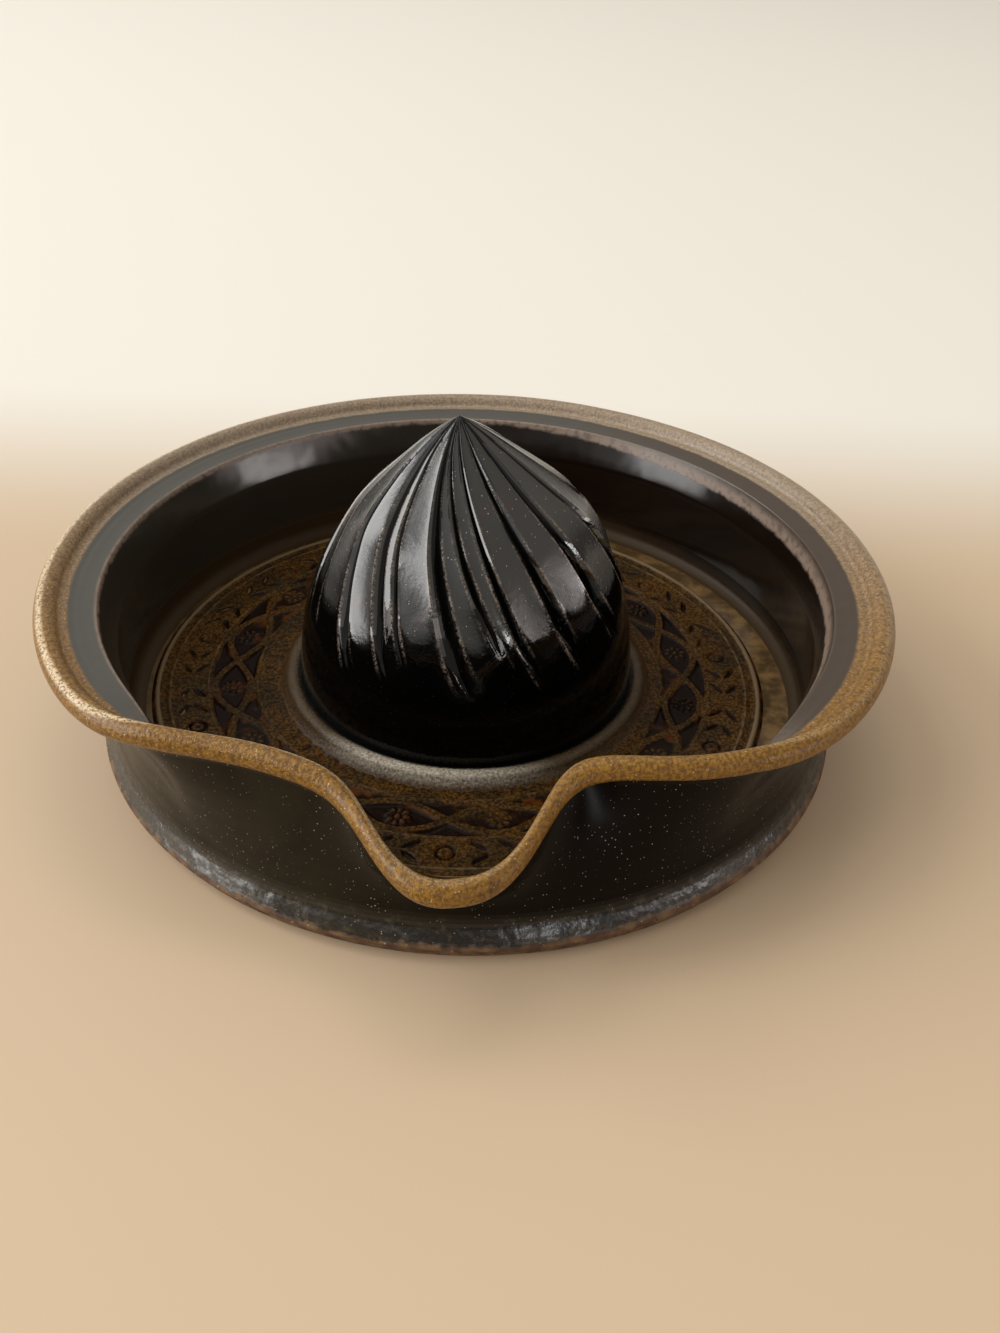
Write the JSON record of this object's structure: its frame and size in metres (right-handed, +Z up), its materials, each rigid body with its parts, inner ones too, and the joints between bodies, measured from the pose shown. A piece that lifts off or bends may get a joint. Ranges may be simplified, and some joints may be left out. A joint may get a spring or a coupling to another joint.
{
  "type": "ceramic citrus reamer",
  "caption": "Stoneware citrus juicer: a low round dish with a flanged rim and a pulled pouring lip around a fixed, fluted, hollow cone.",
  "frame": {"origin": "bottom centre of the whole pot's box, on the table", "axes": "+Z up along the cone; the pouring lip points along -Y; +X is to the right seen from the lip"},
  "size_m": [0.1604, 0.1645, 0.0622],
  "materials": {
    "bare_stoneware": "unglazed",
    "olive_glaze": "gloss glaze",
    "relief_glaze": "satin glaze",
    "collar_glaze": "speckled glaze",
    "black_glaze": "gloss glaze",
    "dark_olive_glaze": "gloss glaze"
  },
  "bodies": {
    "root": {"foot_ring": "bare_stoneware", "floor_slab": "olive_glaze", "relief_disc": "relief_glaze", "cone_collar": "collar_glaze", "reamer_cone": "black_glaze", "dish_wall": "dark_olive_glaze"}
  },
  "joints": []
}
